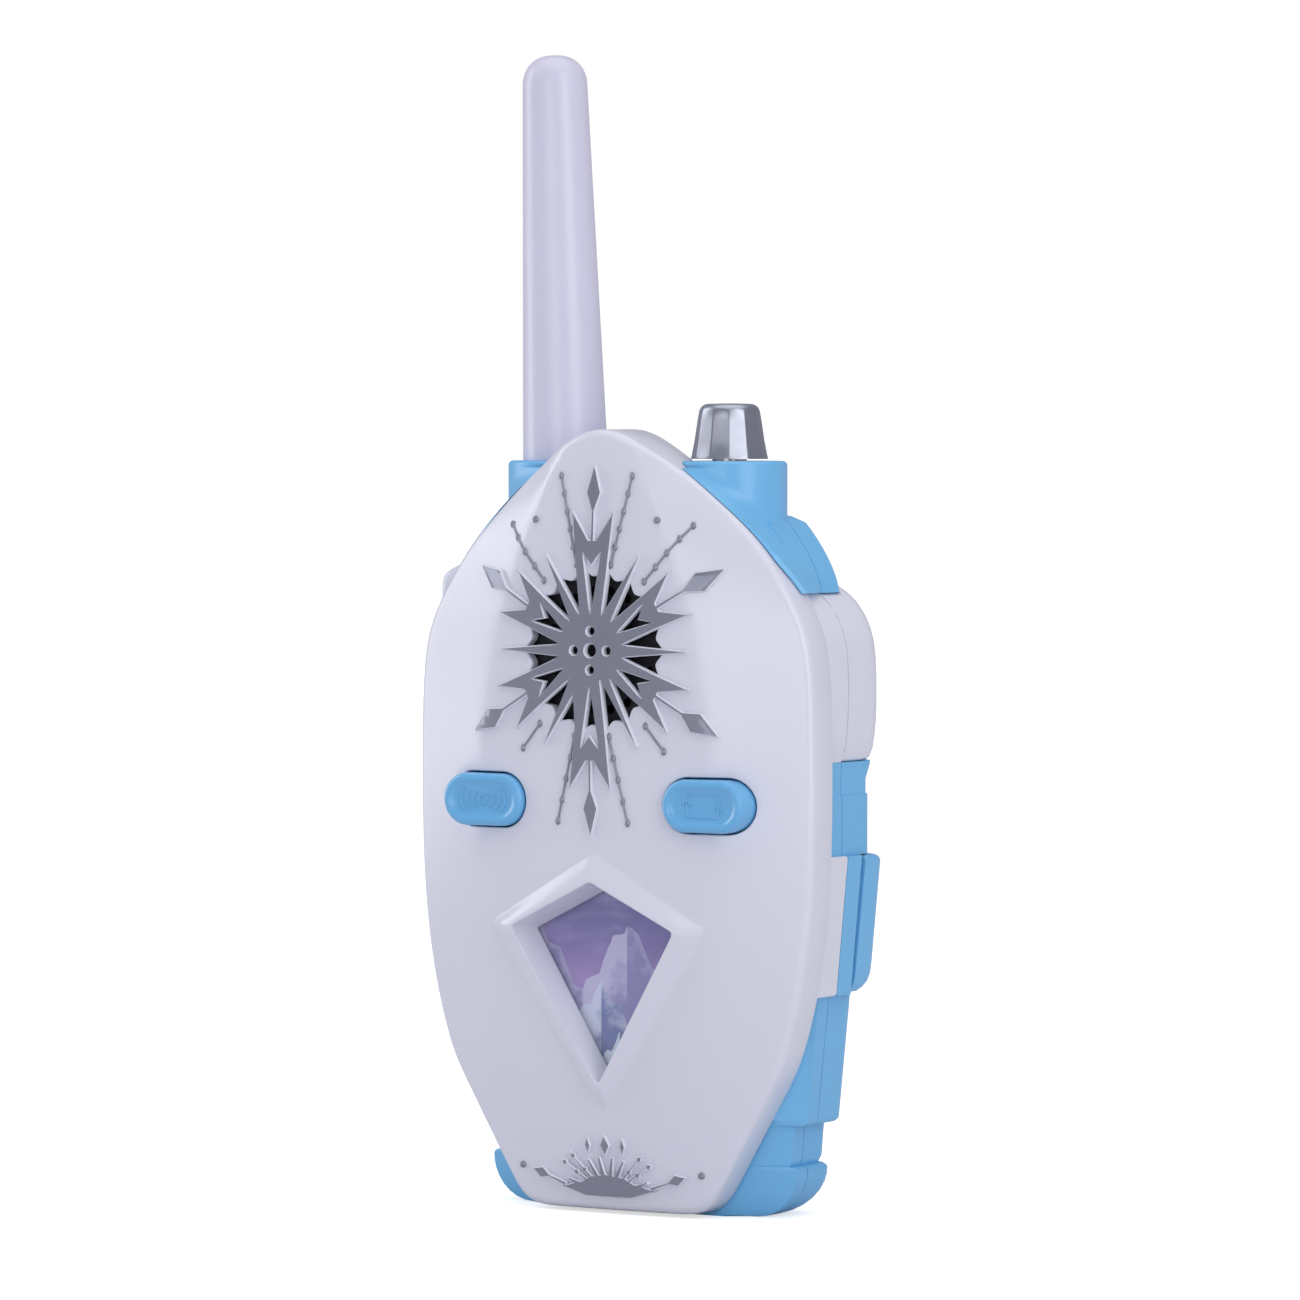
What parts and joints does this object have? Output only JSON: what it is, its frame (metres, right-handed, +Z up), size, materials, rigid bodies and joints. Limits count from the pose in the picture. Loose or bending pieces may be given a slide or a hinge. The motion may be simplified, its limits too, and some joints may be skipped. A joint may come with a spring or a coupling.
{
  "type": "toy walkie talkie",
  "caption": "Handheld toy radio with a shield-shaped crowned face, frost ornament over the speaker, kite-shaped window, two push buttons, side talk button, turning knob and tall antenna.",
  "frame": {"origin": "middle of the flat foot that the radio stands on, under the line of the antenna and knob axes", "axes": "+X to the viewer's right when looking at the face, +Y from the face to the back, +Z up along the antenna"},
  "size_m": [0.0804, 0.0356, 0.199],
  "materials": {
    "white_plastic": "high gloss moulded, faint lavender white",
    "blue_plastic": "satin gloss moulded, sky blue",
    "silver_paint": "metallic silver paint on moulded plastic",
    "bright_plating": "vacuum-plated plastic",
    "clear_plastic": "clear polished sheet",
    "printed_card": "gloss printed card",
    "black_plastic": "fine matt moulded",
    "cone_paper": "pressed paper",
    "magnet_steel": "zinc plated",
    "screw_steel": "zinc plated",
    "board_laminate": "solder-masked laminate",
    "chip_resin": "moulded resin",
    "coil_brass": "lacquered",
    "capacitor_sleeve": "shrink sleeve",
    "lamp_resin": "clear resin",
    "cell_wrap": "printed metal sleeve",
    "contact_steel": "nickel plated"
  },
  "bodies": {
    "casing": {"front_plate": "white_plastic", "snow_crystal": "silver_paint", "lower_crystal": "silver_paint", "speaker_grille": "black_plastic", "window_lens": "clear_plastic", "picture_card": "printed_card", "light_box": "white_plastic", "front_shell": "blue_plastic", "rear_shell": "blue_plastic", "left_chest_panel": "white_plastic", "right_chest_panel": "white_plastic", "left_belt_panel": "white_plastic", "right_belt_panel": "white_plastic", "rear_saddle": "white_plastic", "antenna": "white_plastic", "antenna_foot": "coil_brass", "antenna_wire": "screw_steel", "volume_control": "black_plastic", "left_switch": "black_plastic", "right_switch": "black_plastic", "talk_switch": "black_plastic", "speaker_frame": "black_plastic", "speaker_cone": "cone_paper", "speaker_magnet": "magnet_steel", "speaker_screws": "screw_steel", "circuit_board": "board_laminate", "board_screws": "screw_steel", "plate_screws": "screw_steel", "radio_chip": "chip_resin", "crystal_can": "screw_steel", "tuning_coils": "coil_brass", "capacitors": "capacitor_sleeve", "lamp": "lamp_resin", "battery_cells": "cell_wrap", "battery_springs": "contact_steel", "battery_plates": "contact_steel", "shell_screws": "screw_steel"},
    "volume_knob": {"volume_knob": "bright_plating", "volume_shaft": "screw_steel"},
    "left_key": {"left_button": "blue_plastic", "left_plunger": "black_plastic"},
    "right_key": {"right_button": "blue_plastic", "right_plunger": "black_plastic"},
    "talk_key": {"talk_button": "white_plastic", "talk_plunger": "black_plastic"},
    "battery_cover": {"battery_door": "blue_plastic", "door_screw": "screw_steel"}
  },
  "joints": [
    {"name": "volume_turn", "type": "hinge", "parent": "casing", "child": "volume_knob", "pos_m": [0.0166, 0.0016, 0.129], "axis": [0, 0, 1], "range_deg": [-270, 0]},
    {"name": "left_button_press", "type": "slide", "parent": "casing", "child": "left_key", "axis": [0, 1, 0], "range_m": [0, 0.0012], "stiffness_N_per_m": 300},
    {"name": "right_button_press", "type": "slide", "parent": "casing", "child": "right_key", "axis": [0, 1, 0], "range_m": [0, 0.0012], "stiffness_N_per_m": 300},
    {"name": "talk_button_press", "type": "slide", "parent": "casing", "child": "talk_key", "axis": [1, 0, 0], "range_m": [0, 0.0016], "stiffness_N_per_m": 400},
    {"name": "battery_cover_lift", "type": "slide", "parent": "casing", "child": "battery_cover", "axis": [0, 1, 0], "range_m": [0, 0.02]}
  ]
}
